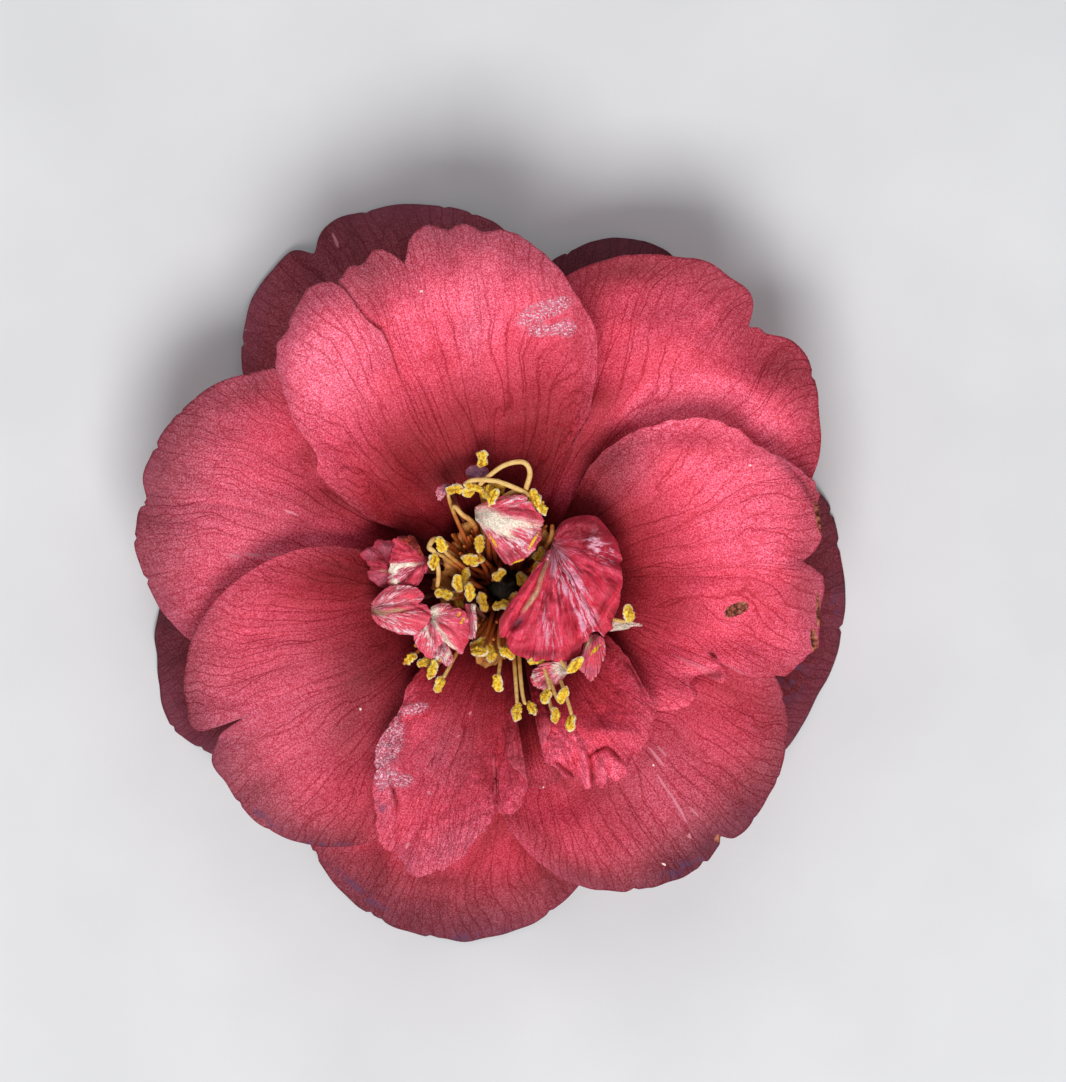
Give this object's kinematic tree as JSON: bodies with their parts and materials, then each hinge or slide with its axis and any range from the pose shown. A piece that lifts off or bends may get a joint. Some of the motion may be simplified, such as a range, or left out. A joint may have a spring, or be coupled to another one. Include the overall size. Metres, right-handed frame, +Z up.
{
  "type": "camellia flower",
  "caption": "Open semi-double camellia flower lying face up, with overlapping rose-red petals, curled petaloids and a loose cluster of gold stamens.",
  "frame": {"origin": "centre of the bounding box's underside, on the surface the flower rests on", "axes": "+Z up out of the face of the flower; +X and +Y across the face, with the long front petal towards +Y and the petal under the curled hood petaloid towards +X"},
  "size_m": [0.1, 0.1042, 0.0364],
  "materials": {
    "petal": "soft satin, rose red with fine darker veins",
    "petal_back": "soft satin, deep rose red with fine darker veins",
    "petaloid": "soft satin, rose pink with cream streaks",
    "stamen": "golden tan filament with bright yellow powdery anther",
    "filament_ring": "waxy orange tan",
    "pistil": "waxy yellow green",
    "sepal": "dull brown green, dry edge",
    "receptacle": "dull green"
  },
  "bodies": {
    "root": {"petal_back_bottom": "petal_back", "petal_back_left": "petal_back", "petal_back_right": "petal_back", "petal_back_top": "petal_back", "petal_back_top_left": "petal_back", "petal_front_left": "petal", "petal_front_right": "petal", "petal_front_top": "petal", "petal_inner_bottom": "petal", "petal_inner_lower_right": "petal", "petal_middle_left": "petal", "petal_middle_lower_right": "petal", "petal_middle_upper_right": "petal", "petal_under_bottom": "petal", "petaloid_cream": "petaloid", "petaloid_hood": "petaloid", "petaloid_left_folded": "petaloid", "petaloid_left_inner": "petaloid", "petaloid_left_outer": "petaloid", "petaloid_pale": "petaloid", "petaloid_right": "petaloid", "petaloid_sliver": "petaloid", "petaloid_streaked": "petaloid", "petaloid_white": "petaloid", "pistil": "pistil", "receptacle": "receptacle", "sepal_1": "sepal", "sepal_2": "sepal", "sepal_3": "sepal", "sepal_4": "sepal", "sepal_5": "sepal", "stamen_01": "stamen", "stamen_02": "stamen", "stamen_03": "stamen", "stamen_04": "stamen", "stamen_05": "stamen", "stamen_06": "stamen", "stamen_07": "stamen", "stamen_08": "stamen", "stamen_09": "stamen", "stamen_10": "stamen", "stamen_11": "stamen", "stamen_12": "stamen", "stamen_13": "stamen", "stamen_14": "stamen", "stamen_15": "stamen", "stamen_16": "stamen", "stamen_17": "stamen", "stamen_18": "stamen", "stamen_19": "stamen", "stamen_20": "stamen", "stamen_21": "stamen", "stamen_22": "stamen", "stamen_23": "stamen", "stamen_24": "stamen", "staminal_column": "filament_ring"}
  },
  "joints": []
}
